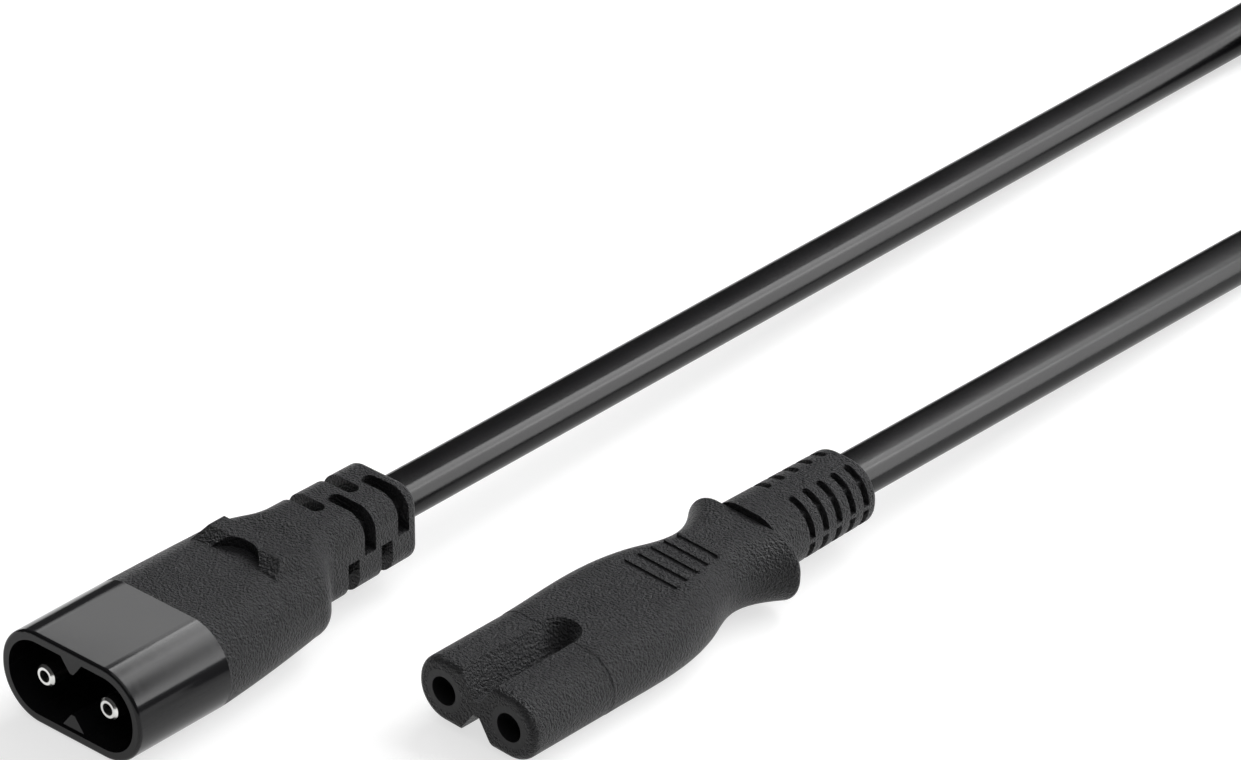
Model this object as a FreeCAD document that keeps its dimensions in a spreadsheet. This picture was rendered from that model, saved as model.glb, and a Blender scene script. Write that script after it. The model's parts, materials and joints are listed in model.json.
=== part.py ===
"""Figure-eight power extension lead: a two-pin inlet and a two-hole socket on one flat cord.

Each connector is drawn in its own frame: X across its two poles, Y from the mating face
towards the cord, Z up. The inlet's Z starts at its underside, the socket's at its hole axes.
The lead lies on the plane Z = 0, with its origin under the middle of the two connectors.
"""
import FreeCAD, Part
import Sketcher
import math
import os

from FreeCAD import Placement, Rotation, Vector

# Driving dimensions in millimetres and degrees: name, value, what it sets
SIZES = [
    ("pole_spacing", 8.6, "between the two poles of either connector"),
    ("inlet_x", -13.81, "inlet's mid plane"),
    ("inlet_y", -39.32, "inlet's mating face"),
    ("socket_x", 15.1, "socket's mid plane at its mating face"),
    ("socket_y", -13.52, "socket's mating face"),
    ("socket_lift", 3.85, "height of the socket's hole axes"),
    ("socket_yaw", -0.63, "socket's turn about Z"),
    ("socket_roll", 2.37, "socket's roll about its length"),
    ("shroud_width", 18.9, "shroud, outside"),
    ("shroud_height", 10.2, "shroud, outside"),
    ("shroud_corner", 4.95, "shroud, corner radius"),
    ("shroud_length", 12.2, "mating face to the overmould's seam"),
    ("shroud_wall", 1.0, "shroud, wall round the cavity"),
    ("shroud_edge", 0.35, "shroud, rounding of the front edge"),
    ("cavity_depth", 10.0, "mating face to the cavity's floor"),
    ("ridge_half", 1.6, "key ridge, half width at the wall"),
    ("ridge_tip", 0.25, "key ridge, half width of its tip"),
    ("ridge_gap", 4.7, "between the tips of the two ridges"),
    ("ridge_recess", 0.25, "ridges behind the mating face"),
    ("tail_width", 15.2, "shroud's tail in the overmould"),
    ("tail_height", 7.4, "shroud's tail in the overmould"),
    ("tail_corner", 2.6, "shroud's tail in the overmould"),
    ("tail_length", 4.8, "shroud's tail in the overmould"),
    ("carrier_width", 12.4, "pin carrier"),
    ("carrier_height", 5.0, "pin carrier"),
    ("carrier_corner", 1.6, "pin carrier"),
    ("flange_overhang", 0.8, "pin carrier's rear flange past its sides"),
    ("flange_length", 0.9, "pin carrier's rear flange"),
    ("pin_diameter", 2.36, "contact pin"),
    ("pin_root", 2.0, "contact pin where the carrier holds it"),
    ("pin_recess", 0.75, "pin tip behind the mating face"),
    ("tip_bore", 1.3, "open end of the rolled pin"),
    ("tip_bore_depth", 6.0, "open end of the rolled pin"),
    ("tip_bevel", 0.25, "bevel round the pin's tip"),
    ("crimp_diameter", 2.9, "crimp barrel"),
    ("crimp_length", 4.4, "crimp barrel"),
    ("crimp_web", 0.8, "solid metal ahead of the wire in a crimp"),
    ("strand_diameter", 1.1, "copper bundle"),
    ("strand_bare", 0.5, "bare copper between crimp and insulation"),
    ("strand_grip", 1.2, "copper's length drawn inside the insulation"),
    ("core_diameter", 2.0, "insulated core"),
    ("core_spacing", 2.4, "between the two cores in the sheath"),
    ("core_straight", 1.7, "straight start and end of a core's run"),
    ("core_run", 7.2, "a core's length along the connector"),
    ("core_seat", 1.0, "core's end inside the sheath's end"),
    ("cord_width", 5.8, "flat cord"),
    ("cord_height", 3.6, "flat cord"),
    ("middle_y", 19.5, "inlet grip, middle station"),
    ("middle_half", 9.0, "inlet grip, half width at the middle station"),
    ("middle_low", 0.6, "inlet grip, underside at the middle station"),
    ("middle_corner", 4.5, "inlet grip, corner radius at the middle station"),
    ("shoulder_y", 26.0, "inlet grip, start of the shoulder"),
    ("shoulder_half", 8.4, "inlet grip, half width at the shoulder"),
    ("shoulder_low", 1.4, "inlet grip, underside at the shoulder"),
    ("shoulder_corner", 3.9, "inlet grip, corner radius at the shoulder"),
    ("neck_start", 31.6, "inlet neck, front"),
    ("neck_end", 43.2, "inlet neck, rear face"),
    ("neck_half", 4.9, "inlet neck, half width at the front"),
    ("neck_end_half", 4.65, "inlet neck, half width at the rear"),
    ("neck_low", 2.1, "inlet neck, underside"),
    ("neck_high", 10.75, "inlet neck, top"),
    ("neck_corner", 2.3, "inlet neck, corner radius"),
    ("neck_axis", 6.8, "height of the cord in the inlet neck"),
    ("neck_edge", 0.6, "inlet neck, rounding of the rear edge"),
    ("neck_slot", 1.6, "inlet neck, slot width"),
    ("neck_pitch", 4.8, "inlet neck, slots of one family"),
    ("neck_slots", 2, "inlet neck, slots of one family"),
    ("neck_first", 33.2, "inlet neck, first slot"),
    ("neck_lap", 0.7, "inlet neck, slot's end past the mid plane"),
    ("neck_core_half", 3.3, "inlet neck, half width of the solid core"),
    ("neck_core_rise", 2.55, "inlet neck, half height of the solid core"),
    ("bar_foot_y", 22.4, "finger bar, foot of its front"),
    ("bar_top_y", 23.9, "finger bar, top of its front"),
    ("bar_back", 26.0, "finger bar, back"),
    ("bar_foot_half", 5.7, "finger bar, half width at its foot"),
    ("bar_top_half", 4.9, "finger bar, half width at its top"),
    ("bar_rise", 1.2, "finger bar, above the grip"),
    ("scoop_radius", 3.7, "half-moon recess in the bar's front"),
    ("scoop_reach", 24.3, "half-moon recess, deepest point"),
    ("nose_half", 7.8, "socket nose, half width"),
    ("nose_rise", 3.6, "socket nose, half height"),
    ("nose_corner", 3.5, "socket nose, corner radius"),
    ("nose_length", 11.0, "socket nose, to the small step"),
    ("nose_edge", 0.8, "socket nose, rounding of the front edge"),
    ("groove_mouth", 2.3, "key groove, half width at the nose's surface"),
    ("groove_floor", 0.4, "key groove, half width of its floor"),
    ("groove_depth", 2.75, "key groove"),
    ("groove_end", 11.2, "key groove, centre of its rounded end"),
    ("entry_diameter", 3.1, "socket's entry hole"),
    ("tube_diameter", 4.6, "socket carrier's tubes"),
    ("sleeve_diameter", 3.4, "contact sleeve"),
    ("sleeve_bore", 2.42, "contact sleeve, for the pin"),
    ("sleeve_start", 2.6, "contact sleeve behind the mating face"),
    ("sleeve_length", 10.0, "contact sleeve"),
    ("sleeve_web", 1.0, "contact sleeve, closed rear end"),
    ("sleeve_slit", 0.4, "slit along the contact sleeve"),
    ("sleeve_play", 0.05, "contact sleeve in its chamber, all round"),
    ("block_start", 14.2, "socket carrier's block"),
    ("block_length", 4.6, "socket carrier's block"),
    ("block_half", 6.7, "socket carrier's block, half width"),
    ("block_rise", 2.7, "socket carrier's block, half height"),
    ("block_corner", 1.5, "socket carrier's block"),
    ("grip_low", -3.62, "socket grip, underside at the nose"),
    ("grip_high", 3.65, "socket grip, top at the nose"),
    ("grip_corner", 3.5, "socket grip, corner radius"),
    ("grip_step", 0.02, "socket grip wider than the nose, each side"),
    ("broad_y", 16.0, "socket grip, where it is broadest"),
    ("broad_half", 7.92, "socket grip, half width there"),
    ("swell_y", 21.0, "socket grip, end of its broad part"),
    ("swell_half", 7.85, "socket grip, half width there"),
    ("taper_y", 26.0, "socket grip, on the taper"),
    ("taper_half", 6.95, "socket grip, half width there"),
    ("narrow_y", 29.1, "socket grip, end of the taper"),
    ("narrow_half", 5.75, "socket grip, half width there"),
    ("waist_y", 32.2, "socket grip, waist"),
    ("waist_half", 5.05, "socket grip, half width at the waist"),
    ("flare_y", 35.3, "socket grip, on the flare"),
    ("flare_half", 5.75, "socket grip, half width there"),
    ("collar_end", 38.4, "socket collar, rear face"),
    ("collar_half", 7.8, "socket collar, half width"),
    ("collar_low", -3.1, "socket collar, underside"),
    ("collar_high", 4.5, "socket collar, top"),
    ("collar_edge", 0.4, "socket collar, rounding of the rear edge"),
    ("stem_end", 52.8, "socket stem, rear face"),
    ("stem_half", 4.7, "socket stem, half width at the collar"),
    ("stem_end_half", 4.4, "socket stem, half width at the rear"),
    ("stem_low", -2.15, "socket stem, underside"),
    ("stem_high", 5.1, "socket stem, top"),
    ("stem_corner", 3.5, "socket stem, corner radius"),
    ("stem_axis", 1.95, "cord above the hole axes in the stem"),
    ("stem_edge", 0.5, "socket stem, rounding of the rear edge"),
    ("stem_slot", 0.85, "socket stem, slot width"),
    ("stem_pitch", 2.04, "socket stem, slots"),
    ("stem_slots", 5, "socket stem, slots"),
    ("stem_first", 42.6, "socket stem, first slot"),
    ("stem_web", 1.25, "socket stem, half width of the web above and below"),
    ("stem_bar", 0.25, "socket stem, half height of the web at each side"),
    ("stem_core_half", 3.2, "socket stem, half width of the solid core"),
    ("stem_core_rise", 2.5, "socket stem, half height of the solid core"),
    ("rib_first", 24.5, "grip rib nearest the nose"),
    ("rib_pitch", 1.68, "grip ribs"),
    ("rib_width", 0.35, "grip ribs"),
    ("rib_rise", 0.2, "grip ribs, above the grip"),
    ("rib_half", 3.45, "grip rib nearest the nose, half length"),
    ("rib_taper", 0.18, "half length that each rib loses to the one before"),
    ("hank_x", 11.1, "hank's centre"),
    ("hank_y", 184.25, "hank's centre"),
    ("hank_half", 33.0, "hank, half width"),
    ("hank_reach", 47.25, "hank, half length"),
    ("hank_side", 19.0, "hank, width of the turns at each side"),
    ("hank_flat", 0.5, "hank, half length of the straight piece at each end"),
    ("hank_low", 0.7, "hank's underside, which the ties lift off the floor"),
    ("hank_height", 7.22, "hank, two layers of cord"),
    ("tie_thickness", 0.7, "tie round each side of the hank"),
    ("tie_width", 6.0, "tie round each side of the hank"),
]
RIB_COUNT = 5
BLEND = [0.06, 0.3, 0.7, 0.94]
OVER = 2.0

# The cord's route past each connector's exit: straight to the first point, then to the hank
INLET_ROUTE = [(-18.64, 149.1, 1.81), (-17.8, 171.0, 2.2)]
SOCKET_ROUTE = [(13.12, 115.6, 1.81), (20.88, 133.69, 4.2), (37.2, 148.42, 5.4)]

doc = FreeCAD.newDocument("FigureEightLead")
sheet = doc.addObject("Spreadsheet::Sheet", "Sizes")
for row, (alias, value, meaning) in enumerate(SIZES, start=1):
    sheet.set(f"A{row}", alias)
    sheet.set(f"B{row}", str(value))
    sheet.set(f"C{row}", meaning)
    sheet.setAlias(f"B{row}", alias)
doc.recompute()


def size(expression):
    """The number that an expression on the sheet gives."""
    return float(sheet.evalExpression(expression))


def new_body(label):
    body = doc.addObject("PartDesign::Body", label)
    body.Label = label
    return body


def plane_of(body, role):
    """One of the body's own planes or axes."""
    return next(f for f in body.Origin.OriginFeatures if f.Role == role)


def new_sketch(body, name, role="XZ_Plane", at=None):
    """A sketch on one of the body's own planes, moved to a place along Y or Z."""
    sketch = body.newObject("Sketcher::SketchObject", name)
    sketch.AttachmentSupport = [(plane_of(body, role), "")]
    sketch.MapMode = "FlatFace"
    if at is not None:
        away = f"-({at})" if role == "XZ_Plane" else at
        sketch.setExpression("AttachmentOffset.Base.z", away)
    return sketch


def hold(sketch, kind, expression, *elements):
    """A dimension that follows an expression on the sheet."""
    index = sketch.addConstraint(Sketcher.Constraint(kind, *elements, size(expression)))
    sketch.setExpression(f"Constraints[{index}]", expression)


def place_point(sketch, edge, end, across, up):
    """Hold an edge's end, or a circle's centre, at a place that the sheet gives."""
    for kind, axis, expression in (("DistanceX", -2, across), ("DistanceY", -1, up)):
        if abs(size(expression)) < 1e-9:
            sketch.addConstraint(Sketcher.Constraint("PointOnObject", edge, end, axis))
        else:
            hold(sketch, kind, expression, -1, 1, edge, end)


def polygon(sketch, corners):
    """A closed outline of straight edges through corners given as expressions."""
    points = [Vector(size(across), size(up), 0) for across, up in corners]
    first = sketch.GeometryCount
    for start, end in zip(points, points[1:] + points[:1]):
        sketch.addGeometry(Part.LineSegment(start, end), False)
    for index, (across, up) in enumerate(corners):
        before = first + (index - 1) % len(corners)
        sketch.addConstraint(Sketcher.Constraint("Coincident", before, 2, first + index, 1))
        place_point(sketch, first + index, 1, across, up)


def rectangle(sketch, left, right, low, high):
    polygon(sketch, [(left, low), (right, low), (right, high), (left, high)])


def rounded(sketch, half, low, high, corner):
    """A rectangle with four equal round corners, centred on the upright axis."""
    a, z0, z1, r = size(half), size(low), size(high), size(corner)
    corners = [(a - r, z1 - r), (r - a, z1 - r), (r - a, z0 + r), (a - r, z0 + r)]
    for turn, (x, z) in enumerate(corners):
        circle = Part.Circle(Vector(x, z, 0), Vector(0, 0, 1), r)
        arc = Part.ArcOfCircle(circle, turn * math.pi / 2, (turn + 1) * math.pi / 2)
        sketch.addGeometry(arc, False)
    sides = [
        ((a - r, z1), (r - a, z1)), ((-a, z1 - r), (-a, z0 + r)),
        ((r - a, z0), (a - r, z0)), ((a, z0 + r), (a, z1 - r)),
    ]
    for start, end in sides:
        sketch.addGeometry(Part.LineSegment(Vector(*start, 0), Vector(*end, 0)), False)
    for arc in range(4):
        side = arc + 4
        following = (arc + 1) % 4
        sketch.addConstraint(Sketcher.Constraint("Tangent", arc, 2, side, 1))
        sketch.addConstraint(Sketcher.Constraint("Tangent", side, 2, following, 1))
    for arc in range(1, 4):
        sketch.addConstraint(Sketcher.Constraint("Equal", 0, arc))
    sketch.addConstraint(Sketcher.Constraint("Horizontal", 4))
    hold(sketch, "Radius", corner, 0)
    hold(sketch, "DistanceX", half, -1, 1, 7, 1)
    hold(sketch, "DistanceX", half, 5, 1, -1, 1)
    for side, level in ((4, high), (6, low)):
        if abs(size(level)) < 1e-9:
            sketch.addConstraint(Sketcher.Constraint("PointOnObject", side, 1, -1))
        else:
            hold(sketch, "DistanceY", level, -1, 1, side, 1)


def circle_at(sketch, across, up, diameter):
    centre = Vector(size(across), size(up), 0)
    shape = Part.Circle(centre, Vector(0, 0, 1), size(diameter) / 2)
    index = sketch.addGeometry(shape, False)
    place_point(sketch, index, 3, across, up)
    hold(sketch, "Diameter", diameter, index)


def pad(body, sketch, name, length, reverse=True):
    """Reversed, a sketch across the connector grows towards the cord."""
    feature = body.newObject("PartDesign::Pad", name)
    feature.Profile = sketch
    feature.Reversed = reverse
    feature.setExpression("Length", length)
    return feature


def cut_check(body, feature):
    """A cut has to take something away."""
    doc.recompute()
    if feature.BaseFeature.Shape.Volume - feature.Shape.Volume < 1e-3:
        raise RuntimeError(f"{body.Label}: {feature.Name} removes nothing")


def pocket(body, sketch, name, length, reverse=False):
    """Not reversed, a sketch across the connector cuts towards the cord, a flat one down."""
    feature = body.newObject("PartDesign::Pocket", name)
    feature.Profile = sketch
    feature.Reversed = reverse
    feature.setExpression("Length", length)
    feature.Refine = False
    cut_check(body, feature)
    return feature


def loft(body, name, sections, ruled=False):
    feature = body.newObject("PartDesign::AdditiveLoft", name)
    feature.Profile = sections[0]
    feature.Sections = sections[1:]
    feature.Ruled = ruled
    return feature


def turned(body, name, corners):
    """A revolved piece: corners are (radius, place along the axis)."""
    sketch = new_sketch(body, f"{name}_profile", "XY_Plane")
    polygon(sketch, corners)
    feature = body.newObject("PartDesign::Revolution", name)
    feature.Profile = sketch
    feature.ReferenceAxis = (sketch, ["V_Axis"])
    feature.Angle = 360
    return feature


def round_edges(body, base, name, radius, wanted):
    """Round the edges of the last feature that pass the wanted test."""
    doc.recompute()
    edges = [f"Edge{i}" for i, edge in enumerate(base.Shape.Edges, start=1) if wanted(edge)]
    feature = body.newObject("PartDesign::Fillet", name)
    feature.Base = (base, edges)
    feature.setExpression("Radius", radius)
    return feature


def in_plane(y, reach=0.0):
    """A test for edges in the plane Y = y that come at least reach from the mid plane."""
    def test(edge):
        box = edge.BoundBox
        far = max(abs(box.XMin), abs(box.XMax))
        return abs(box.YMin - y) < 1e-4 and abs(box.YMax - y) < 1e-4 and far >= reach
    return test


def slot_quadrant(body, name, side, level, first, width, lap, core, face, mid, outer):
    """Cut one quadrant's slot: a channel with a round end, and a notch down the side.

    side is -1 or 1 across and level is -1 or 1 up. lap is the channel's end past the mid
    plane, core the solid core's half width, face its top or underside, mid the notch's other
    end and outer a level beyond the neck.
    """
    sign = "" if side > 0 else "-"
    reach = f"{sign}(Sizes.neck_half + {OVER})"
    tip = f"{sign}({width} / 2 - ({lap}))"
    depth = f"({outer}) - ({face})" if level > 0 else f"({face}) - ({outer})"
    channel = new_sketch(body, f"{name}_channel", "XY_Plane", outer)
    rectangle(channel, tip, reach, first, f"{first} + {width}")
    end = new_sketch(body, f"{name}_end", "XY_Plane", outer)
    circle_at(end, tip, f"{first} + {width} / 2", width)
    notch = new_sketch(body, f"{name}_notch", "XZ_Plane", first)
    rectangle(notch, f"{sign}({core})", reach, mid, outer)
    return [
        pocket(body, channel, f"{name}_cut", depth, reverse=level < 0),
        pocket(body, end, f"{name}_end_cut", depth, reverse=level < 0),
        pocket(body, notch, f"{name}_side_cut", width),
    ]


def along(body, name, originals, pitch, count):
    """Repeat cuts along the connector."""
    feature = body.newObject("PartDesign::LinearPattern", name)
    feature.Originals = originals
    feature.Direction = (plane_of(body, "Y_Axis"), [""])
    feature.setExpression("Length", f"{pitch} * ({count} - 1)")
    feature.setExpression("Occurrences", count)
    feature.Refine = False
    body.Tip = feature
    doc.recompute()
    return feature


def connector_place(kind, across="0"):
    """Where a piece of the inlet or the socket lies, shifted across by an expression."""
    if kind == "inlet":
        home = Placement(Vector(size("inlet_x"), size("inlet_y"), 0), Rotation())
    else:
        turn = Rotation(Vector(0, 0, 1), size("socket_yaw"))
        roll = Rotation(Vector(0, 1, 0), size("socket_roll"))
        seat = Vector(size("socket_x"), size("socket_y"), size("socket_lift"))
        home = Placement(seat, turn.multiply(roll))
    return home.multiply(Placement(Vector(size(across), 0, 0), Rotation()))


def feature_of(label, shape, place=Placement()):
    feature = doc.addObject("Part::Feature", label)
    feature.Label = label
    feature.Shape = shape
    feature.Placement = place
    return feature


def rounded_wire(points, label):
    """Straight runs joined by tangent arcs, each as large as its two runs allow."""
    here = points[0]
    edges = []
    for before, corner, after in zip(points, points[1:], points[2:]):
        run_in = corner - before
        run_out = after - corner
        back = 0.45 * min(run_in.Length, run_out.Length)
        run_in.normalize()
        run_out.normalize()
        half_turn = run_in.getAngle(run_out) / 2
        radius = back / math.tan(half_turn)
        start = corner - run_in * back
        end = corner + run_out * back
        inward = run_out - run_in
        inward.normalize()
        middle = corner + inward * (radius / math.cos(half_turn) - radius)
        edges += [Part.LineSegment(here, start).toShape(), Part.Arc(start, middle, end).toShape()]
        print(f"{label}: turn {math.degrees(2 * half_turn):.1f} deg, radius {radius:.1f} mm")
        here = end
    edges.append(Part.LineSegment(here, points[-1]).toShape())
    return Part.Wire(edges)


def swept(path, section, label, upright):
    """One solid along the path; a flat section is kept upright."""
    sweep = Part.BRepOffsetAPI.MakePipeShell(path)
    if upright:
        sweep.setBiNormalMode(Vector(0, 0, 1))
    sweep.add(section)
    sweep.build()
    sweep.makeSolid()
    shape = sweep.shape()
    expected = Part.Face(section).Area * path.Length
    if abs(shape.Volume / expected - 1) > 0.02:
        raise RuntimeError(f"{label}: {shape.Volume:.1f} mm3 where {expected:.1f} is expected")
    return shape


def flat_section(start, heading, width, height):
    """The flat cord's outline, square to its heading."""
    side = heading.cross(Vector(0, 0, 1))
    side.normalize()
    up = side.cross(heading)
    up.normalize()
    radius = height / 2
    reach = width / 2 - radius
    corners = {
        (x, z): start + side * (x * reach) + up * (z * radius) for x in (-1, 1) for z in (-1, 1)
    }
    edges = []
    for x in (1, -1):
        tip = start + side * (x * width / 2)
        edges.append(Part.Arc(corners[x, -x], tip, corners[x, x]).toShape())
        edges.append(Part.LineSegment(corners[x, x], corners[-x, x]).toShape())
    return Part.Wire(edges)


def hank_outline():
    """A tall block with the hank's outline, which ends the cord's runs."""
    half = size("hank_half")
    straight = size("hank_reach") - half
    height = size("hank_height") * 3
    centre = Vector(size("hank_x"), size("hank_y"), -size("hank_height"))
    block = Part.makeBox(half * 2, straight * 2, height, centre - Vector(half, straight, 0))
    for sign in (-1, 1):
        block = block.fuse(Part.makeCylinder(half, height, centre + Vector(0, sign * straight, 0)))
    return block


def cord_tube(label, kind, end_y, axis, route):
    """The cord from a connector's rear face to the hank, met face to face at both ends."""
    place = connector_place(kind)
    exit_point = place.multVec(Vector(0, size(end_y), size(axis)))
    back = place.Rotation.multVec(Vector(0, -1, 0))
    first = Vector(*route[0])
    heading = first - exit_point
    heading.normalize()
    start = exit_point - heading
    path = rounded_wire([start] + [Vector(*point) for point in route], label)
    section = flat_section(start, heading, size("cord_width"), size("cord_height"))
    tube = swept(path, section, label, upright=True)
    reach = size("cord_width") * 2
    corner = Vector(-reach / 2, size(end_y) - reach, size(axis) - reach / 2)
    behind = Part.makeBox(reach, reach, reach, corner)
    behind.Placement = place
    return feature_of(label, tube.cut([behind, hank_outline()]))


# Inlet: hard shroud, a sleeve open at both ends with two key ridges
shroud = new_body("inlet_shroud")
sketch = new_sketch(shroud, "shroud_outline")
rounded(sketch, "Sizes.shroud_width / 2", "0", "Sizes.shroud_height", "Sizes.shroud_corner")
sleeve = pad(shroud, sketch, "shroud_sleeve", "Sizes.shroud_length")
round_edges(shroud, sleeve, "shroud_front_edge", "Sizes.shroud_edge", in_plane(0))
sketch = new_sketch(shroud, "tail_outline", at="Sizes.shroud_length")
MID = "Sizes.shroud_height / 2"
rounded(
    sketch, "Sizes.tail_width / 2", f"{MID} - Sizes.tail_height / 2",
    f"{MID} + Sizes.tail_height / 2", "Sizes.tail_corner",
)
pad(shroud, sketch, "shroud_tail", "Sizes.tail_length")
sketch = new_sketch(shroud, "cavity_outline")
rounded(
    sketch, "Sizes.shroud_width / 2 - Sizes.shroud_wall", "Sizes.shroud_wall",
    "Sizes.shroud_height - Sizes.shroud_wall", "Sizes.shroud_corner - Sizes.shroud_wall",
)
pocket(shroud, sketch, "cavity", "Sizes.cavity_depth")
sketch = new_sketch(shroud, "carrier_seat_outline", at="Sizes.cavity_depth")
CARRIER = [
    "Sizes.carrier_width / 2", f"{MID} - Sizes.carrier_height / 2",
    f"{MID} + Sizes.carrier_height / 2", "Sizes.carrier_corner",
]
SEAT_LENGTH = "Sizes.shroud_length + Sizes.tail_length - Sizes.cavity_depth"
rounded(sketch, *CARRIER)
pocket(shroud, sketch, "carrier_seat", SEAT_LENGTH)
for name, sign in (("lower", "-"), ("upper", "+")):
    sketch = new_sketch(shroud, f"{name}_ridge_outline", at="Sizes.ridge_recess")
    wall = f"{MID} {sign} (Sizes.shroud_height / 2 - Sizes.shroud_wall / 2)"
    root = f"{MID} {sign} (Sizes.shroud_height / 2 - Sizes.shroud_wall)"
    tip = f"{MID} {sign} Sizes.ridge_gap / 2"
    polygon(sketch, [
        ("-Sizes.ridge_half", wall), ("Sizes.ridge_half", wall), ("Sizes.ridge_half", root),
        ("Sizes.ridge_tip", tip), ("-Sizes.ridge_tip", tip), ("-Sizes.ridge_half", root),
    ])
    pad(shroud, sketch, f"{name}_ridge", "Sizes.cavity_depth - Sizes.ridge_recess")
shroud.Placement = connector_place("inlet")

# Inlet: the carrier that closes the sleeve's rear and holds the two pins
CRIMP_START = "Sizes.shroud_length + Sizes.tail_length + Sizes.flange_length"
carrier = new_body("inlet_pin_carrier")
sketch = new_sketch(carrier, "carrier_outline", at="Sizes.cavity_depth")
rounded(sketch, *CARRIER)
pad(carrier, sketch, "carrier_plug", SEAT_LENGTH)
sketch = new_sketch(carrier, "flange_outline", at="Sizes.shroud_length + Sizes.tail_length")
rounded(
    sketch, f"{CARRIER[0]} + Sizes.flange_overhang", f"{CARRIER[1]} - Sizes.flange_overhang",
    f"{CARRIER[2]} + Sizes.flange_overhang", "Sizes.carrier_corner + Sizes.flange_overhang",
)
pad(carrier, sketch, "carrier_flange", "Sizes.flange_length")
sketch = new_sketch(carrier, "pin_holes", at="Sizes.cavity_depth")
for sign in ("-", ""):
    circle_at(sketch, f"{sign}Sizes.pole_spacing / 2", MID, "Sizes.pin_root")
pocket(carrier, sketch, "pin_bores", f"{CRIMP_START} - Sizes.cavity_depth")
carrier.Placement = connector_place("inlet")


def crimp_profile(shank, start):
    """The outline from a contact's shank round its crimp barrel to the blind end of its bore."""
    end = f"{start} + Sizes.crimp_length"
    floor = f"{start} + Sizes.crimp_web"
    return [
        (shank, start), ("Sizes.crimp_diameter / 2", start), ("Sizes.crimp_diameter / 2", end),
        ("Sizes.strand_diameter / 2", end), ("Sizes.strand_diameter / 2", floor), ("0", floor),
    ]


def wire_pieces(kind, side, sign, start, rise, cord_axis):
    """The bare copper behind a crimp and the insulated core that joins the sheath's end."""
    place = connector_place(kind)
    crimp_end = size(f"{start} + crimp_length")
    bare_end = crimp_end + size("strand_bare")
    x = size(f"{sign}pole_spacing / 2")
    x_end = size(f"{sign}core_spacing / 2")
    z = size(rise)
    z_end = size(cord_axis)
    floor = size(f"{start} + crimp_web")
    straight = size("core_straight")
    run = size("core_run")
    heading = Vector(0, 1, 0)
    copper = Part.makeCylinder(
        size("strand_diameter") / 2, bare_end + size("strand_grip") - floor,
        Vector(x, floor, z), heading,
    )
    strands = feature_of(f"{kind}_strands_{side}", copper, place)
    points = [
        Vector(x, bare_end, z), Vector(x, bare_end + straight, z),
        Vector(x_end, bare_end + run - straight, z_end), Vector(x_end, bare_end + run, z_end),
    ]
    path = rounded_wire(points, f"{kind}_core_{side}")
    ring = Part.Wire(Part.makeCircle(size("core_diameter") / 2, points[0], heading))
    core = swept(path, ring, f"{kind}_core_{side}", upright=False).cut(copper)
    return strands, feature_of(f"{kind}_core_{side}", core, place)


def sheath_end(kind, start, rise, end_y, cord_axis, cores):
    """The cord's end inside the connector, with the two cores seated in it."""
    first = size(f"{start} + crimp_length + strand_bare + core_run - core_seat")
    origin = Vector(0, first, size(cord_axis))
    section = flat_section(origin, Vector(0, 1, 0), size("cord_width"), size("cord_height"))
    shape = Part.Face(section).extrude(Vector(0, size(end_y) - first, 0))
    for core in cores:
        tool = core.Shape.copy()
        tool.Placement = Placement()
        shape = shape.cut(tool)
    return feature_of(f"{kind}_sheath_end", shape, connector_place(kind))


def moulded_round(label, body, pieces):
    """The overmould meets face to face every piece that it is moulded round."""
    inside = doc.addObject("Part::MultiFuse", f"{label}_inside")
    inside.Shapes = pieces
    cut = doc.addObject("Part::Cut", label)
    cut.Label = label
    cut.Base = body
    cut.Tool = inside
    return cut


inlet_pieces = [shroud, carrier]
inlet_cores = []
for side, sign in (("left", "-"), ("right", "")):
    pin = new_body(f"inlet_pin_{side}")
    tip = "Sizes.pin_recess"
    turned(pin, f"pin_{side}", [
        ("0", f"{tip} + Sizes.tip_bore_depth"),
        ("Sizes.tip_bore / 2", f"{tip} + Sizes.tip_bore_depth"), ("Sizes.tip_bore / 2", tip),
        ("Sizes.pin_diameter / 2 - Sizes.tip_bevel", tip),
        ("Sizes.pin_diameter / 2", f"{tip} + Sizes.tip_bevel"),
        ("Sizes.pin_diameter / 2", "Sizes.cavity_depth"),
        ("Sizes.pin_root / 2", "Sizes.cavity_depth"),
    ] + crimp_profile("Sizes.pin_root / 2", f"({CRIMP_START})"))
    pin.Placement = connector_place("inlet", f"{sign}pole_spacing / 2")
    pin.Placement.Base.z = size("shroud_height / 2")
    bare_start = "shroud_length + tail_length + flange_length"
    strands, core = wire_pieces(
        "inlet", side, sign, bare_start, "shroud_height / 2", "neck_axis",
    )
    inlet_pieces += [pin, strands, core]
    inlet_cores.append(core)
inlet_pieces.append(
    sheath_end("inlet", bare_start, "shroud_height / 2", "neck_end", "neck_axis", inlet_cores)
)

# Inlet: overmould, from the shroud's seam over the shoulders to the slotted neck
over = new_body("inlet_moulding")
FRONT = ["Sizes.shroud_width / 2", "0", "Sizes.shroud_height", "Sizes.shroud_corner"]
MIDDLE = ["Sizes.middle_half", "Sizes.middle_low", "Sizes.shroud_height", "Sizes.middle_corner"]
SHOULDER = [
    "Sizes.shoulder_half", "Sizes.shoulder_low", "Sizes.shroud_height", "Sizes.shoulder_corner",
]
NECK = ["Sizes.neck_half", "Sizes.neck_low", "Sizes.neck_high", "Sizes.neck_corner"]
stations = [
    ("Sizes.shroud_length", FRONT), ("Sizes.middle_y", MIDDLE), ("Sizes.shoulder_y", SHOULDER),
]
for index, share in enumerate(BLEND, start=1):
    there = f"Sizes.shoulder_y + (Sizes.neck_start - Sizes.shoulder_y) * {index / 5:.2f}"
    mixed = [f"{a} + ({b} - {a}) * {share}" for a, b in zip(SHOULDER, NECK)]
    stations.append((there, mixed))
stations.append(("Sizes.neck_start", NECK))
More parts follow.
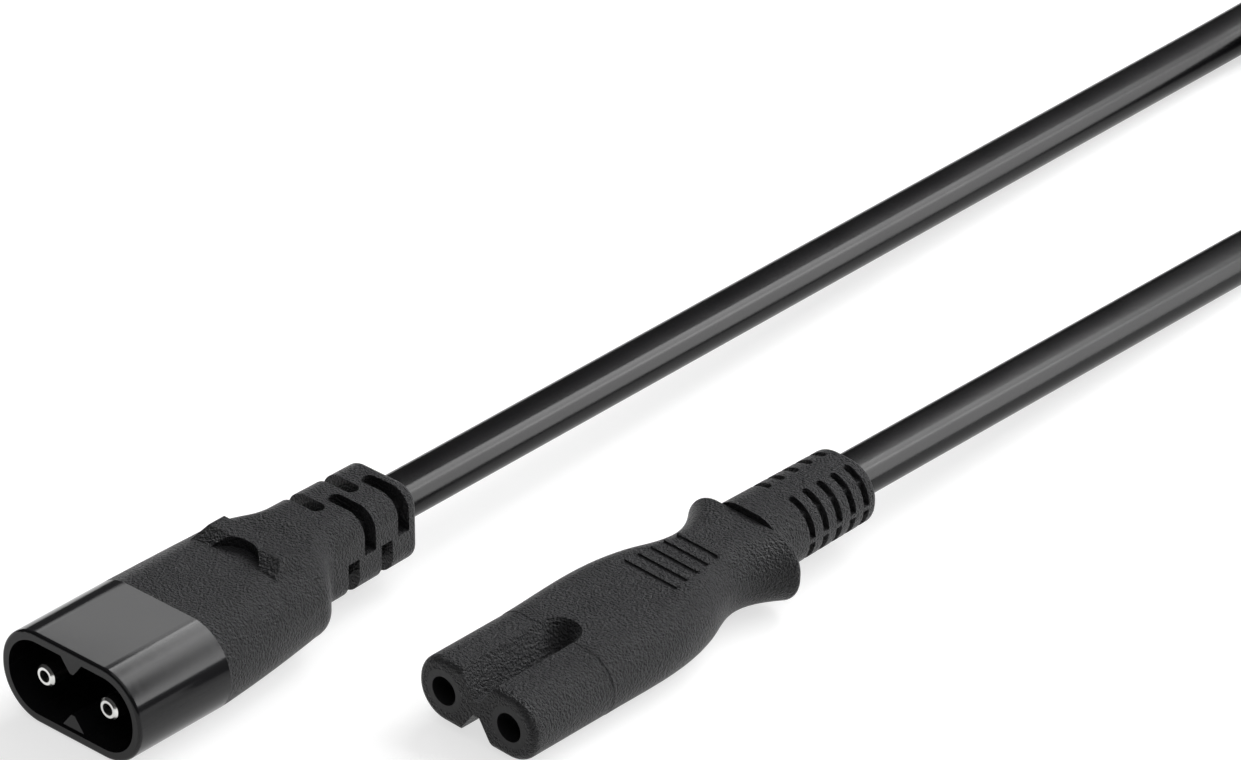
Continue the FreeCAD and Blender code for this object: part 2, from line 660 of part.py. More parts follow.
sections = []
for index, (there, outline) in enumerate(stations):
    sketch = new_sketch(over, f"inlet_station_{index}", at=there)
    rounded(sketch, *outline)
    sections.append(sketch)
loft(over, "inlet_grip", sections[:3])
loft(over, "inlet_shoulder", sections[2:])
neck_front = new_sketch(over, "neck_front_outline", at="Sizes.neck_start")
rounded(neck_front, *NECK)
neck_rear = new_sketch(over, "neck_rear_outline", at="Sizes.neck_end")
rounded(neck_rear, "Sizes.neck_end_half", *NECK[1:])
neck = loft(over, "inlet_neck", [neck_front, neck_rear], ruled=True)
round_edges(over, neck, "neck_rear_edge", "Sizes.neck_edge", in_plane(size("neck_end")))
doc.recompute()

# Inlet: finger bar with a half-moon recess in its front
foot = new_sketch(over, "bar_foot", "XY_Plane", "Sizes.shroud_height - Sizes.bar_rise")
slope = "(Sizes.bar_top_y - Sizes.bar_foot_y)"
spread = "(Sizes.bar_foot_half - Sizes.bar_top_half)"
rectangle(
    foot, f"-(Sizes.bar_foot_half + {spread})", f"Sizes.bar_foot_half + {spread}",
    f"Sizes.bar_foot_y - {slope}", "Sizes.bar_back",
)
crest = new_sketch(over, "bar_crest", "XY_Plane", "Sizes.shroud_height + Sizes.bar_rise")
rectangle(
    crest, "-Sizes.bar_top_half", "Sizes.bar_top_half", "Sizes.bar_top_y", "Sizes.bar_back",
)
loft(over, "finger_bar", [foot, crest], ruled=True)
sketch = new_sketch(over, "scoop_outline", "XY_Plane", "Sizes.shroud_height")
circle_at(sketch, "0", "Sizes.scoop_reach - Sizes.scoop_radius", "2 * Sizes.scoop_radius")
pocket(over, sketch, "half_moon", "Sizes.bar_rise * 2", reverse=True)

# Inlet: neck slots, two families half a pitch apart
NECK_MID = "(Sizes.neck_low + Sizes.neck_high) / 2"
families = [
    ("a", "Sizes.neck_first", [(-1, 1), (1, -1)]),
    ("b", "(Sizes.neck_first + Sizes.neck_pitch / 2)", [(1, 1), (-1, -1)]),
]
for family, first, quadrants in families:
    cuts = []
    for side, level in quadrants:
        sign = "+" if level > 0 else "-"
        face = f"{NECK_MID} {sign} Sizes.neck_core_rise"
        outer = f"{NECK_MID} {sign} (Sizes.neck_high - Sizes.neck_low)"
        name = f"neck_{family}_{'right' if side > 0 else 'left'}"
        cuts += slot_quadrant(
            over, name, side, level, first, "Sizes.neck_slot", "Sizes.neck_lap",
            "Sizes.neck_core_half", face, NECK_MID, outer,
        )
    along(over, f"neck_slots_{family}", cuts, "Sizes.neck_pitch", "Sizes.neck_slots")
over.Placement = connector_place("inlet")
inlet_overmould = moulded_round("inlet_overmould", over, inlet_pieces)

# Socket: hard carrier, two tubes on a block, with a chamber for each contact
holder = new_body("socket_carrier")
sketch = new_sketch(holder, "block_outline", at="Sizes.block_start")
rounded(
    sketch, "Sizes.block_half", "-Sizes.block_rise", "Sizes.block_rise", "Sizes.block_corner",
)
pad(holder, sketch, "block", "Sizes.block_length")
sketch = new_sketch(holder, "tube_outlines")
for sign in ("-", ""):
    circle_at(sketch, f"{sign}Sizes.pole_spacing / 2", "0", "Sizes.tube_diameter")
pad(holder, sketch, "tubes", "Sizes.block_start")
holes = [
    ("entry_holes", "0", "Sizes.entry_diameter", "Sizes.sleeve_start"),
    ("chambers", "Sizes.sleeve_start", "Sizes.sleeve_diameter + 2 * Sizes.sleeve_play",
     "Sizes.block_start - Sizes.sleeve_start"),
    ("shank_bores", "Sizes.block_start", "Sizes.pin_diameter", "Sizes.block_length"),
]
for name, start, diameter, depth in holes:
    sketch = new_sketch(holder, f"{name}_outline", at=start if start != "0" else None)
    for sign in ("-", ""):
        circle_at(sketch, f"{sign}Sizes.pole_spacing / 2", "0", diameter)
    pocket(holder, sketch, name, depth)
holder.Placement = connector_place("socket")

# Socket: rolled contact sleeves with crimped wires
socket_pieces = [holder]
socket_cores = []
SLEEVE_END = "Sizes.sleeve_start + Sizes.sleeve_length"
for side, sign in (("left", "-"), ("right", "")):
    contact = new_body(f"socket_contact_{side}")
    turned(contact, f"contact_{side}", [
        ("0", f"{SLEEVE_END} - Sizes.sleeve_web"),
        ("Sizes.sleeve_bore / 2", f"{SLEEVE_END} - Sizes.sleeve_web"),
        ("Sizes.sleeve_bore / 2", "Sizes.sleeve_start"),
        ("Sizes.sleeve_diameter / 2", "Sizes.sleeve_start"),
        ("Sizes.sleeve_diameter / 2", SLEEVE_END),
        ("Sizes.pin_diameter / 2", SLEEVE_END),
    ] + crimp_profile("Sizes.pin_diameter / 2", "(Sizes.block_start + Sizes.block_length)"))
    sketch = new_sketch(contact, f"slit_{side}_outline", at="Sizes.sleeve_start")
    rectangle(
        sketch, "-Sizes.sleeve_slit / 2", "Sizes.sleeve_slit / 2", "0", "Sizes.sleeve_diameter",
    )
    pocket(contact, sketch, f"slit_{side}", "Sizes.sleeve_length - 2 * Sizes.sleeve_web")
    contact.Placement = connector_place("socket", f"{sign}pole_spacing / 2")
    bare_start = "block_start + block_length"
    strands, core = wire_pieces("socket", side, sign, bare_start, "0", "stem_axis")
    socket_pieces += [contact, strands, core]
    socket_cores.append(core)
socket_pieces.append(
    sheath_end("socket", bare_start, "0", "stem_end", "stem_axis", socket_cores)
)

# Socket: overmould, nose with key grooves, waisted grip, collar and slotted stem
over = new_body("socket_moulding")
sketch = new_sketch(over, "nose_outline")
rounded(sketch, "Sizes.nose_half", "-Sizes.nose_rise", "Sizes.nose_rise", "Sizes.nose_corner")
nose = pad(over, sketch, "nose", "Sizes.nose_length")
round_edges(over, nose, "nose_front_edge", "Sizes.nose_edge", in_plane(0))


def grip_level(low, high, there):
    """The grip's top or underside at a place, in line from the nose to the collar."""
    share = f"({there} - Sizes.nose_length) / (Sizes.collar_end - Sizes.nose_length)"
    return f"{low} + ({high} - {low}) * {share}"


stations = [
    ("Sizes.nose_length", "Sizes.nose_half + Sizes.grip_step"),
    ("Sizes.broad_y", "Sizes.broad_half"), ("Sizes.swell_y", "Sizes.swell_half"),
    ("Sizes.taper_y", "Sizes.taper_half"), ("Sizes.narrow_y", "Sizes.narrow_half"),
    ("Sizes.waist_y", "Sizes.waist_half"), ("Sizes.flare_y", "Sizes.flare_half"),
    ("Sizes.collar_end", "Sizes.collar_half"),
]
sections = []
for index, (there, half) in enumerate(stations):
    sketch = new_sketch(over, f"socket_station_{index}", at=there)
    rounded(
        sketch, half, grip_level("Sizes.grip_low", "Sizes.collar_low", there),
        grip_level("Sizes.grip_high", "Sizes.collar_high", there), "Sizes.grip_corner",
    )
    sections.append(sketch)
loft(over, "socket_grip", sections[:4])
grip = loft(over, "socket_waist", sections[3:])
round_edges(over, grip, "collar_rear_edge", "Sizes.collar_edge", in_plane(size("collar_end")))
STEM = ["Sizes.stem_low", "Sizes.stem_high", "Sizes.stem_corner"]
stem_front = new_sketch(over, "stem_front_outline", at="Sizes.collar_end")
rounded(stem_front, "Sizes.stem_half", *STEM)
stem_rear = new_sketch(over, "stem_rear_outline", at="Sizes.stem_end")
rounded(stem_rear, "Sizes.stem_end_half", *STEM)
stem = loft(over, "socket_stem", [stem_front, stem_rear], ruled=True)
round_edges(over, stem, "stem_rear_edge", "Sizes.stem_edge", in_plane(size("stem_end")))
doc.recompute()

# Socket: bores for the carrier's tubes
sketch = new_sketch(over, "tube_bore_outlines")
for sign in ("-", ""):
    circle_at(sketch, f"{sign}Sizes.pole_spacing / 2", "0", "Sizes.tube_diameter")
pocket(over, sketch, "tube_bores", "Sizes.block_start")

# Socket: key grooves above and below, each with a round end
APEX = "(Sizes.nose_rise - Sizes.groove_depth)"
BRIM = f"(Sizes.nose_rise + {OVER})"
WIDEST = (
    f"(Sizes.groove_floor + (Sizes.groove_mouth - Sizes.groove_floor)"
    f" * (Sizes.groove_depth + {OVER}) / Sizes.groove_depth)"
)
for name, sign in (("upper", ""), ("lower", "-")):
    sketch = new_sketch(over, f"{name}_groove_outline")
    polygon(sketch, [
        ("-Sizes.groove_floor", f"{sign}{APEX}"), ("Sizes.groove_floor", f"{sign}{APEX}"),
        (WIDEST, f"{sign}{BRIM}"), (f"-{WIDEST}", f"{sign}{BRIM}"),
    ])
    pocket(over, sketch, f"{name}_groove", "Sizes.groove_end")
    narrow, wide, foot_level = ("1", "2", APEX) if sign == "" else ("2", "1", f"-{BRIM}")
    end = over.newObject("PartDesign::SubtractiveCone", f"{name}_groove_end")
    end.AttachmentSupport = [(plane_of(over, "XY_Plane"), "")]
    end.MapMode = "FlatFace"
    end.setExpression("AttachmentOffset.Base.y", "Sizes.groove_end")
    end.setExpression("AttachmentOffset.Base.z", foot_level)
    end.setExpression(f"Radius{narrow}", "Sizes.groove_floor")
    end.setExpression(f"Radius{wide}", WIDEST)
    end.setExpression("Height", f"{BRIM} - {APEX}")
    cut_check(over, end)

# Socket: grip ribs across the taper
for index in range(RIB_COUNT):
    there = f"(Sizes.rib_first + Sizes.rib_pitch * {index})"
    surface = grip_level("Sizes.grip_high", "Sizes.collar_high", there)
    half = f"(Sizes.rib_half - Sizes.rib_taper * {index})"
    sketch = new_sketch(over, f"rib_{index}_outline", at=f"{there} - Sizes.rib_width / 2")
    rectangle(
        sketch, f"-{half}", half, f"{surface} - Sizes.rib_rise * 3",
        f"{surface} + Sizes.rib_rise",
    )
    pad(over, sketch, f"rib_{index}", "Sizes.rib_width")

# Socket: stem slots in the four quadrants
STEM_MID = "(Sizes.stem_low + Sizes.stem_high) / 2"
cuts = []
for level, sign in ((1, "+"), (-1, "-")):
    face = f"{STEM_MID} {sign} Sizes.stem_core_rise"
    mid = f"{STEM_MID} {sign} Sizes.stem_bar"
    outer = f"{STEM_MID} {sign} (Sizes.stem_high - Sizes.stem_low)"
    for side, word in ((-1, "left"), (1, "right")):
        cuts += slot_quadrant(
            over, f"stem_{'upper' if level > 0 else 'lower'}_{word}", side, level,
            "Sizes.stem_first", "Sizes.stem_slot", "-Sizes.stem_web",
            "Sizes.stem_core_half", face, mid, outer,
        )
along(over, "stem_slots", cuts, "Sizes.stem_pitch", "Sizes.stem_slots")
over.Placement = connector_place("socket")
socket_overmould = moulded_round("socket_overmould", over, socket_pieces)

# Cord: two straight runs and the tied hank between them
inlet_run = cord_tube("cord_inlet_run", "inlet", "neck_end", "neck_axis", INLET_ROUTE)
socket_run = cord_tube("cord_socket_run", "socket", "stem_end", "stem_axis", SOCKET_ROUTE)
hank_place = Placement(Vector(size("hank_x"), size("hank_y"), size("hank_low")), Rotation())
hank = new_body("cord_hank")
sketch = new_sketch(hank, "hank_outline", "XY_Plane")
rounded(
    sketch, "Sizes.hank_half", "-Sizes.hank_reach", "Sizes.hank_reach",
    "Sizes.hank_half - Sizes.hank_flat",
)
pad(hank, sketch, "hank_turns", "Sizes.hank_height", reverse=False)
sketch = new_sketch(hank, "hank_opening", "XY_Plane")
rounded(
    sketch, "Sizes.hank_half - Sizes.hank_side", "-Sizes.hank_reach + Sizes.hank_side",
    "Sizes.hank_reach - Sizes.hank_side", "Sizes.hank_half - Sizes.hank_side - Sizes.hank_flat",
)
pocket(hank, sketch, "hank_middle", "Sizes.hank_height", reverse=True)
hank.Placement = hank_place
ties = []
for side, sign in (("left", -1), ("right", 1)):
    tie = new_body(f"hank_tie_{side}")
    sketch = new_sketch(tie, f"tie_outline_{side}")
    rounded(
        sketch, "Sizes.hank_side / 2 + Sizes.tie_thickness", "-Sizes.tie_thickness",
        "Sizes.hank_height + Sizes.tie_thickness", "2 * Sizes.tie_thickness",
    )
    pad(tie, sketch, f"tie_strap_{side}", "Sizes.tie_width")
    sketch = new_sketch(tie, f"tie_inside_{side}")
    rectangle(
        sketch, "-Sizes.hank_side / 2", "Sizes.hank_side / 2", "0", "Sizes.hank_height",
    )
    pocket(tie, sketch, f"tie_opening_{side}", "Sizes.tie_width")
    away = Vector(sign * (size("hank_half") - size("hank_side") / 2), -size("tie_width") / 2, 0)
    tie.Placement = Placement(hank_place.Base + away, Rotation())
    ties.append(tie)

doc.recompute()
pieces = inlet_pieces + [inlet_overmould] + socket_pieces + [socket_overmould]
pieces += [inlet_run, hank, socket_run] + ties
for thing in doc.Objects:
    if "Invalid" in thing.State or "Error" in thing.State:
        raise RuntimeError(f"{thing.Label}: {thing.State}")
for piece in pieces:
    shape = piece.Shape
    if shape.isNull() or not shape.isValid() or len(shape.Solids) != 1:
        raise RuntimeError(f"{piece.Label}: {len(shape.Solids)} solids, not one valid solid")
os.makedirs("parts", exist_ok=True)
for piece in pieces:
    piece.Shape.exportStep(f"parts/{piece.Label}.step")
print(f"{len(pieces)} pieces")
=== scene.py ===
import json
import math

import bpy
from mathutils import Matrix, Vector


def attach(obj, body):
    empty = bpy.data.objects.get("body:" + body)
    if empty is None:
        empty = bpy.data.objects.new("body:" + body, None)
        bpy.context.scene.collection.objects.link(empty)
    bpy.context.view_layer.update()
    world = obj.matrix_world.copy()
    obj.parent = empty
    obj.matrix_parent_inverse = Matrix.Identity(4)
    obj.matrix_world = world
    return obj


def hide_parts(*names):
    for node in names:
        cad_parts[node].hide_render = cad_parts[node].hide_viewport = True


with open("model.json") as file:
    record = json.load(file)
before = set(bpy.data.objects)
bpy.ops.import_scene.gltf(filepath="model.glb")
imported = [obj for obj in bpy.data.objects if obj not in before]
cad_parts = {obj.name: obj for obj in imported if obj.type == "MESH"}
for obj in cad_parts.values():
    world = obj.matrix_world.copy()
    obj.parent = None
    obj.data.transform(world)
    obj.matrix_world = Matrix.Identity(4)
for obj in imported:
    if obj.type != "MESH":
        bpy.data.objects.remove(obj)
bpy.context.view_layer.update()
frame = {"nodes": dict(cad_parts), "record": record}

MM = 0.001

# The photograph's view: turn and height of the camera, the floor point it looks at, its
# distance from there, how far it sees in metres, and its lens and sensor in millimetres
VIEW_TURN = math.radians(42.34)
VIEW_HEIGHT = math.radians(30.826)
VIEW_TARGET = Vector((-20.41, 45.92, 0)) * MM
VIEW_DISTANCE = 824.4 * MM
VIEW_REACH = 10
VIEW_LENS = 232.07
VIEW_SENSOR = 36

# The flat cord's section in metres, and the steps round each of its edges
CORD_WIDTH = 5.8 * MM
CORD_HEIGHT = 3.6 * MM
EDGE_STEPS = 12
# Where in its first and last stretch the cord has an extra ring: without one, the highlight
# breaks up there
END_RING = 0.01

# The put-away hank in millimetres: heights of its two layers' axes, its middle, half the length
# of its straight sides, the fold's radius on the outer track, and the tracks' pitch
LOWER_AXIS = 2.5
UPPER_AXIS = 6.12
HANK_CENTRE = (11.1, 184.25)
HANK_STRAIGHT = 14.25
HANK_TRACK = 30.0
TRACK_PITCH = 6.1
# Turns in the hank, points in each fold, and the part of a turn that one straight side takes
HANK_TURNS = 5.68
FOLD_POINTS = 6
SIDE_SHARE = 0.128
# Where a turn moves to another track or layer: start and end in turns, tracks inward, layers up
TRACK_STEPS = [
    (0.84, 1.00, 1, 0), (1.84, 2.00, 1, 0), (2.70, 2.86, 0, 1),
    (3.59, 3.75, -1, 0), (4.63, 4.79, -1, 0), (5.61, 5.79, -1, 0),
]

# The cord's route outside the hank, in millimetres, and its smooth line's steps at each point
INLET_ROUTE = [(-13.81, 3.88, 6.8), (-17.84, 125.1, 2.63), (-18.64, 149.1, 1.81)]
SOCKET_ROUTE = [
    (20.88, 133.69, 4.6), (13.12, 115.6, 1.81), (13.8, 96.0, 2.84), (15.76, 39.28, 5.8),
]
LINE_STEPS = 10

# Detail and roughness of the fine grain, and size and detail of the broad mottle that changes
# a surface's tone and polish
GRAIN_DETAIL = 2
GRAIN_ROUGHNESS = 0.55
MOTTLE_PER_METRE = 180
MOTTLE_DETAIL = 4

# Each material: metal or not, gloss (0.5 is common), grains per metre, two colours,
# roughness range, bump depth in metres
SURFACES = {
    "overmould": (
        0, 0.26, 3900, ((0.0235, 0.0235, 0.025), (0.037, 0.037, 0.0392)), (0.32, 0.46), 0.00055,
    ),
    "shroud_plastic": (
        0, 0.26, 700, ((0.010, 0.010, 0.011), (0.014, 0.014, 0.015)), (0.11, 0.17), 0.000004,
    ),
    "carrier_plastic": (
        0, 0.26, 2200, ((0.016, 0.016, 0.017), (0.023, 0.023, 0.024)), (0.30, 0.42), 0.00003,
    ),
    "cord_sheath": (
        0, 0.21, 900, ((0.002, 0.002, 0.0023), (0.0045, 0.0045, 0.005)), (0.21, 0.29), 0.000006,
    ),
    "contact_metal": (
        1, 0.5, 5000, ((0.72, 0.72, 0.70), (0.84, 0.84, 0.82)), (0.16, 0.32), 0.000006,
    ),
    "copper": (
        1, 0.5, 5000, ((0.62, 0.28, 0.15), (0.78, 0.40, 0.24)), (0.30, 0.48), 0.000006,
    ),
    "tie_strap": (
        0, 0.3, 2600, ((0.020, 0.020, 0.021), (0.030, 0.030, 0.031)), (0.5, 0.7), 0.00005,
    ),
    "core_brown": (
        0, 0.4, 1500, ((0.14, 0.06, 0.035), (0.18, 0.08, 0.045)), (0.42, 0.58), 0.00001,
    ),
    "core_blue": (
        0, 0.4, 1500, ((0.04, 0.10, 0.31), (0.06, 0.14, 0.39)), (0.42, 0.58), 0.00001,
    ),
}

# The floor in metres, its finish, and its colour where it lights the object and where it is seen
FLOOR_WIDTH = 6
FLOOR_DROP = 0.0002
FLOOR_ROUGHNESS = 0.9
FLOOR_GLOSS = 0.1
FLOOR_LIT = (0.3, 0.3, 0.3, 1)
FLOOR_SEEN = (0.42, 0.42, 0.42, 1)
# How bright the floor looks by itself near the object, where 1 is white, and how far away,
# in metres, it begins to grow to 1 and reaches it
FLOOR_GLOW = 0.68
GLOW_RISE = (0.4, 1.6)

# The room's light, and each light panel: middle and the point it faces in metres, long and
# short side, radiance, and the way its long side runs
ROOM_LIGHT = 0.04
PANELS = {
    "back_left": (
        (-0.131, 0.543, 0.559), (0, 0.06, 0), (0.52, 0.30), 7.4, (0.97, 0, 0.22),
    ),
    "back_right": (
        (0.353, 0.59, 0.393), (0, 0.06, 0), (0.80, 0.40), 6.2, (0.75, 0, -0.66),
    ),
    "overhead": (
        (0.35, 0.0, 1.4), (0, 0.05, 0), (1.7, 1.9), 0.8, (1, 0, 0),
    ),
    "shroud_card": (
        (-0.073, 0.0265, 0.062), (-0.073, 0.0265, 0), (0.06, 0.028), 2.8, (1, 0, 0),
    ),
}


def set_up_view():
    """The camera at the photograph's angle, with a plain white view transform."""
    data = bpy.data.cameras.new("photo_camera")
    data.lens = VIEW_LENS
    data.sensor_width = VIEW_SENSOR
    data.clip_end = VIEW_REACH
    camera = bpy.data.objects.new("photo_camera", data)
    bpy.context.scene.collection.objects.link(camera)
    look = Vector((
        -math.sin(VIEW_TURN) * math.cos(VIEW_HEIGHT),
        math.cos(VIEW_TURN) * math.cos(VIEW_HEIGHT),
        -math.sin(VIEW_HEIGHT),
    ))
    camera.location = VIEW_TARGET - look * VIEW_DISTANCE
    camera.rotation_euler = (math.pi / 2 - VIEW_HEIGHT, 0, VIEW_TURN)
    bpy.context.scene.camera = camera
    bpy.context.scene.view_settings.view_transform = "Standard"


def track_at(turn):
    """How far out from the fold's middle the cord runs at a place in the hank, and its height."""
    radius = HANK_TRACK
    height = LOWER_AXIS
    for start, end, inward, up in TRACK_STEPS:
        share = min(max((turn - start) / (end - start), 0), 1)
        share = share * share * (3 - 2 * share)
        radius -= TRACK_PITCH * inward * share
        height += (UPPER_AXIS - LOWER_AXIS) * up * share
    return radius, height


def fold_points(turn_count, fold):
    """Points round one fold, with one on the side before it and one after: far fold 0, near 1."""
    step = math.pi / FOLD_POINTS
    side = 1 - 2 * fold
    for index in range(-1, FOLD_POINTS + 1):
        angle = step * (index + 0.5)
        turn = turn_count + fold / 2 + SIDE_SHARE + (0.5 - SIDE_SHARE) * angle / math.pi
        radius, height = track_at(turn)
        radius /= math.cos(step / 2)
        across = HANK_CENTRE[0] - side * radius * math.cos(angle)
        along = HANK_CENTRE[1] + side * (HANK_STRAIGHT + radius * math.sin(angle))
        if turn < HANK_TURNS:
            yield across, along, height


def hank_points():
    """Folded turns in two layers: inwards along the floor, then outwards on top."""
    points = []
    for turn_count in range(math.ceil(HANK_TURNS)):
        for fold in (0, 1):
            points += fold_points(turn_count, fold)
    return points


def cord_line():
    """The points of the cord's smooth line, from the inlet round the hank to the socket."""
    route = INLET_ROUTE + hank_points() + SOCKET_ROUTE
    curve = bpy.data.curves.new("cord_line", "CURVE")
    curve.dimensions = "3D"
    spline = curve.splines.new("NURBS")
    spline.points.add(len(route) - 1)
    for point, place in zip(spline.points, route):
        point.co = (*(value * MM for value in place), 1)
    spline.order_u = 3
    spline.use_endpoint_u = True
    spline.resolution_u = LINE_STEPS
    line = bpy.data.objects.new("cord_line", curve)
    bpy.context.scene.collection.objects.link(line)
    mesh = bpy.data.meshes.new_from_object(line)
    points = [vertex.co.copy() for vertex in mesh.vertices]
    bpy.data.objects.remove(line)
    bpy.data.meshes.remove(mesh)
    return points


def flat_outline():
    """Across and up of the flat cord's section, round from its right side."""
    radius = CORD_HEIGHT / 2
    reach = CORD_WIDTH / 2 - radius
    outline = []
    for side in (1, -1):
        for step in range(EDGE_STEPS + 1):
            angle = math.pi * (step / EDGE_STEPS - 0.5)
            across = side * (reach + radius * math.cos(angle))
            outline.append((across, side * radius * math.sin(angle)))
    return outline


def cord_mesh(points):
    """The flat cord along its line, lying on its wide side all the way."""
    near_start = points[0].lerp(points[1], END_RING)
    near_end = points[-1].lerp(points[-2], END_RING)
    points = [points[0], near_start, *points[1:-1], near_end, points[-1]]
    outline = flat_outline()
    count = len(outline)
    verts = []
    faces = []
    for index, point in enumerate(points):
        before = points[max(index - 1, 0)]
        after = points[min(index + 1, len(points) - 1)]
        ahead = (after - before).normalized()
        side = ahead.cross(Vector((0, 0, 1))).normalized()
        up = side.cross(ahead).normalized()
        verts += [point + side * across + up * rise for across, rise in outline]
    for ring in range(len(points) - 1):
        low = ring * count
        for step in range(count):
            following = (step + 1) % count
            faces.append((
                low + step, low + count + step, low + count + following, low + following,
            ))
    faces.append(tuple(range(count)))
    last = (len(points) - 1) * count
    faces.append(tuple(reversed(range(last, last + count))))
    mesh = bpy.data.meshes.new("flat_cord")
    mesh.from_pydata([tuple(vert) for vert in verts], [], faces)
    for polygon in mesh.polygons:
        polygon.use_smooth = len(polygon.vertices) == 4
    mesh.update()
    return mesh


def make_cord(material):
    """One flat cord in place of the three plain solids of the cord."""
    points = cord_line()
    cord = bpy.data.objects.new("flat_cord", cord_mesh(points))
    cord.data.materials.append(material)
    bpy.context.scene.collection.objects.link(cord)
    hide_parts("cord_inlet_run", "cord_hank", "cord_socket_run")
    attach(cord, "root")
    tuple(points[0])
    [tuple(p) for p in points]


def new_material(name, metal, gloss):
    """A plain Principled material, before its surface is added."""
    material = bpy.data.materials.new(name)
    material.use_nodes = True
    shader = material.node_tree.nodes["Principled BSDF"]
    shader.inputs["Metallic"].default_value = metal
    shader.inputs["Specular IOR Level"].default_value = gloss
    return material


def surface_group():
    """Fine grain and broad mottle over a surface: a height for bumps, a tone for colours."""
    group = bpy.data.node_groups.new("moulded_surface", "ShaderNodeTree")
    for name, kind, side in (
        ("Grains per Metre", "NodeSocketFloat", "INPUT"),
        ("Height", "NodeSocketFloat", "OUTPUT"),
        ("Tone", "NodeSocketFloat", "OUTPUT"),
    ):
        group.interface.new_socket(name=name, in_out=side, socket_type=kind)
    nodes = group.nodes
    links = group.links
    inside = nodes.new("NodeGroupInput")
    outside = nodes.new("NodeGroupOutput")
    place = nodes.new("ShaderNodeTexCoord")
    fine = nodes.new("ShaderNodeTexNoise")
    fine.inputs["Detail"].default_value = GRAIN_DETAIL
    fine.inputs["Roughness"].default_value = GRAIN_ROUGHNESS
    links.new(place.outputs["Object"], fine.inputs["Vector"])
    links.new(inside.outputs["Grains per Metre"], fine.inputs["Scale"])
    links.new(fine.outputs["Fac"], outside.inputs["Height"])
    broad = nodes.new("ShaderNodeTexNoise")
    broad.inputs["Scale"].default_value = MOTTLE_PER_METRE
    broad.inputs["Detail"].default_value = MOTTLE_DETAIL
    links.new(place.outputs["Object"], broad.inputs["Vector"])
    links.new(broad.outputs["Fac"], outside.inputs["Tone"])
    return group


def add_surface(material, group, grains, colors, polish, depth):
    """Two close colours and a range of roughness by tone, and a bump by height."""
    nodes = material.node_tree.nodes
    links = material.node_tree.links
    shader = nodes["Principled BSDF"]
    surface = nodes.new("ShaderNodeGroup")
    surface.node_tree = group
    surface.inputs["Grains per Metre"].default_value = grains
    tones = nodes.new("ShaderNodeMix")
    tones.data_type = "RGBA"
    for socket, color in zip(("A", "B"), colors):
        tones.inputs[socket].default_value = (*color, 1)
    links.new(surface.outputs["Tone"], tones.inputs["Factor"])
    links.new(tones.outputs["Result"], shader.inputs["Base Color"])
    wear = nodes.new("ShaderNodeMapRange")
    wear.inputs["To Min"].default_value, wear.inputs["To Max"].default_value = polish
    links.new(surface.outputs["Tone"], wear.inputs["Value"])
    links.new(wear.outputs["Result"], shader.inputs["Roughness"])
    bump = nodes.new("ShaderNodeBump")
    bump.inputs["Strength"].default_value = 1
    bump.inputs["Distance"].default_value = depth
    links.new(surface.outputs["Height"], bump.inputs["Height"])
    links.new(bump.outputs["Normal"], shader.inputs["Normal"])


def make_materials():
    """One procedural material for each material slot of the record."""
    group = surface_group()
    materials = {}
    for name, (metal, gloss, grains, colors, polish, depth) in SURFACES.items():
        materials[name] = new_material(name, metal, gloss)
        add_surface(materials[name], group, grains, colors, polish, depth)
    return materials


def dress_nodes(materials):
    """Give each CAD node the material of its slot."""
    slots = {part["node"]: part["material_slot"] for part in frame["record"]["subparts"]}
    for name, node in frame["nodes"].items():
        node.data.materials.clear()
        node.data.materials.append(materials[slots[name]])


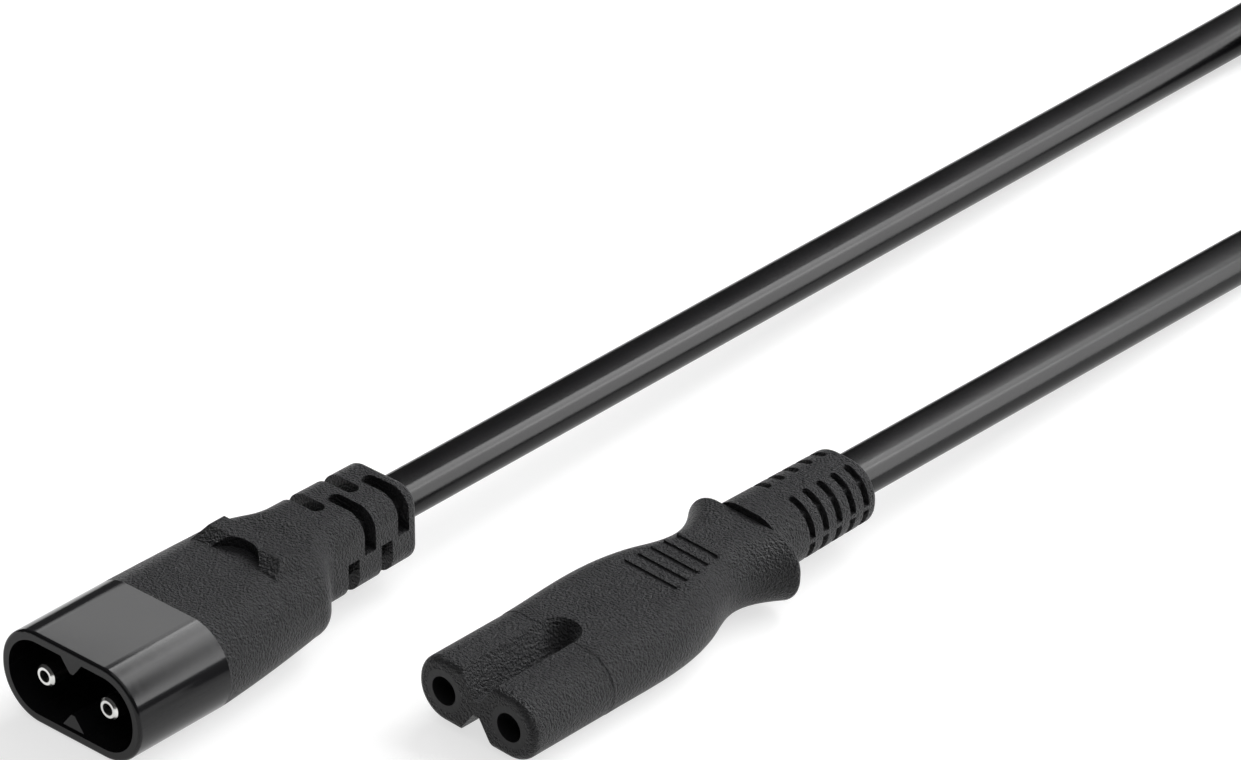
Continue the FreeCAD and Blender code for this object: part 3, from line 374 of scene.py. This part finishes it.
def make_floor():
    """A plain floor: seen as white, with the object's shadow, but lighting the object less."""
    bpy.ops.mesh.primitive_plane_add(size=FLOOR_WIDTH, location=(0, 0, -FLOOR_DROP))
    floor = bpy.context.object
    floor.name = "floor"
    material = bpy.data.materials.new("floor_white")
    material.use_nodes = True
    nodes = material.node_tree.nodes
    links = material.node_tree.links
    shader = nodes["Principled BSDF"]
    shader.inputs["Roughness"].default_value = FLOOR_ROUGHNESS
    shader.inputs["Specular IOR Level"].default_value = FLOOR_GLOSS
    shader.inputs["Emission Color"].default_value = (1, 1, 1, 1)
    path = nodes.new("ShaderNodeLightPath")
    seen = path.outputs["Is Camera Ray"]
    for kind in ("Is Glossy Ray", "Is Transmission Ray"):
        either = nodes.new("ShaderNodeMath")
        either.operation = "MAXIMUM"
        links.new(seen, either.inputs[0])
        links.new(path.outputs[kind], either.inputs[1])
        seen = either.outputs[0]
    color = nodes.new("ShaderNodeMix")
    color.data_type = "RGBA"
    color.inputs["A"].default_value = FLOOR_LIT
    color.inputs["B"].default_value = FLOOR_SEEN
    links.new(seen, color.inputs["Factor"])
    links.new(color.outputs["Result"], shader.inputs["Base Color"])
    place = nodes.new("ShaderNodeTexCoord")
    away = nodes.new("ShaderNodeVectorMath")
    away.operation = "LENGTH"
    links.new(place.outputs["Object"], away.inputs[0])
    rise = nodes.new("ShaderNodeMapRange")
    rise.inputs["From Min"].default_value, rise.inputs["From Max"].default_value = GLOW_RISE
    rise.inputs["To Min"].default_value = FLOOR_GLOW
    links.new(away.outputs["Value"], rise.inputs["Value"])
    glow = nodes.new("ShaderNodeMath")
    glow.operation = "MULTIPLY"
    links.new(seen, glow.inputs[0])
    links.new(rise.outputs["Result"], glow.inputs[1])
    links.new(glow.outputs[0], shader.inputs["Emission Strength"])
    floor.data.materials.append(material)


def softbox(name, middle, toward, size, radiance, along):
    """A rectangular light panel: its long side runs as along does, and it faces a point."""
    data = bpy.data.lights.new(name, "AREA")
    data.shape = "RECTANGLE"
    data.size, data.size_y = size
    data.energy = radiance * math.pi * size[0] * size[1]
    lamp = bpy.data.objects.new(name, data)
    bpy.context.scene.collection.objects.link(lamp)
    back = (Vector(middle) - Vector(toward)).normalized()
    side = (Vector(along) - back * back.dot(Vector(along))).normalized()
    turn = Matrix((side, back.cross(side), back)).transposed()
    lamp.matrix_world = Matrix.Translation(middle) @ turn.to_4x4()
    lamp.visible_camera = False


def set_up_light():
    """A dim room, panels behind and above, and a small card close over the shroud's top."""
    world = bpy.data.worlds.new("studio")
    bpy.context.scene.world = world
    world.use_nodes = True
    room = world.node_tree.nodes["Background"]
    room.inputs["Color"].default_value = (1, 1, 1, 1)
    room.inputs["Strength"].default_value = ROOM_LIGHT
    for name, panel in PANELS.items():
        softbox(name, *panel)


set_up_view()
materials = make_materials()
dress_nodes(materials)
make_cord(materials["cord_sheath"])
make_floor()
set_up_light()
